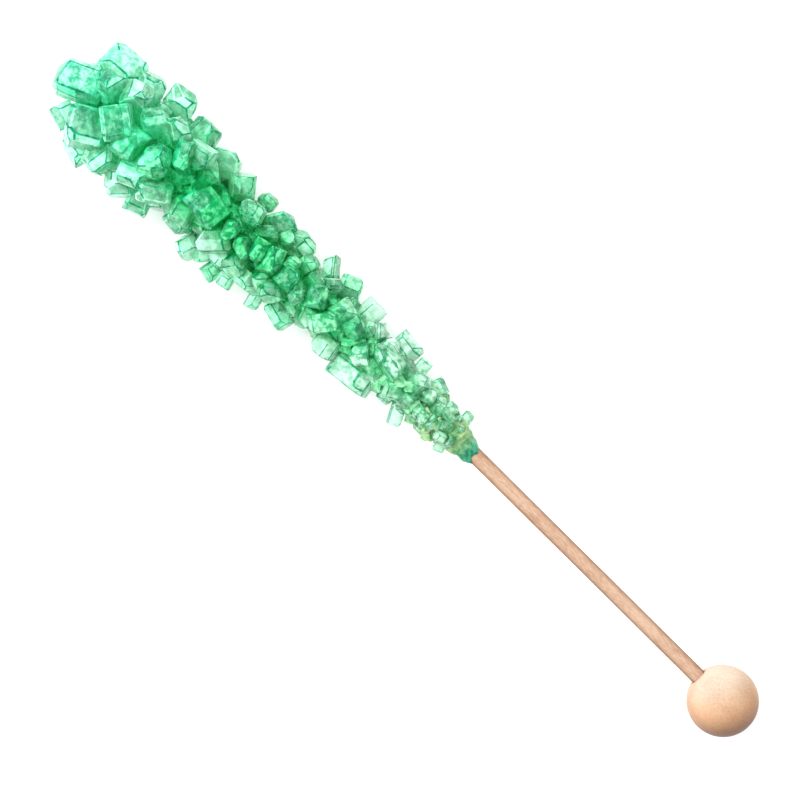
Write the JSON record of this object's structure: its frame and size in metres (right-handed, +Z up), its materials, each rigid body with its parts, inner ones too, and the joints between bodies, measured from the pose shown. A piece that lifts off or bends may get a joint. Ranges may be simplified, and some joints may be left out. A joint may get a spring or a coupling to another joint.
{
  "type": "rock candy stick",
  "caption": "Rock candy stick lying down: a rough cluster of green sugar crystals grown on a thin wooden dowel that ends in a round wooden knob to hold it by.",
  "frame": {"origin": "on the table, under the middle of the whole stick's bounding box", "axes": "+X along the stick towards the knob, +Y across it, +Z up from the table, as the stick lies"},
  "size_m": [0.1762, 0.0256, 0.0208],
  "materials": {
    "sugar_crystal": "clear to slightly milky crystal faces",
    "dowel_wood": "bare, sanded",
    "knob_wood": "bare, sanded"
  },
  "bodies": {
    "root": {"candy": "sugar_crystal", "dowel": "dowel_wood", "knob": "knob_wood"}
  },
  "joints": []
}
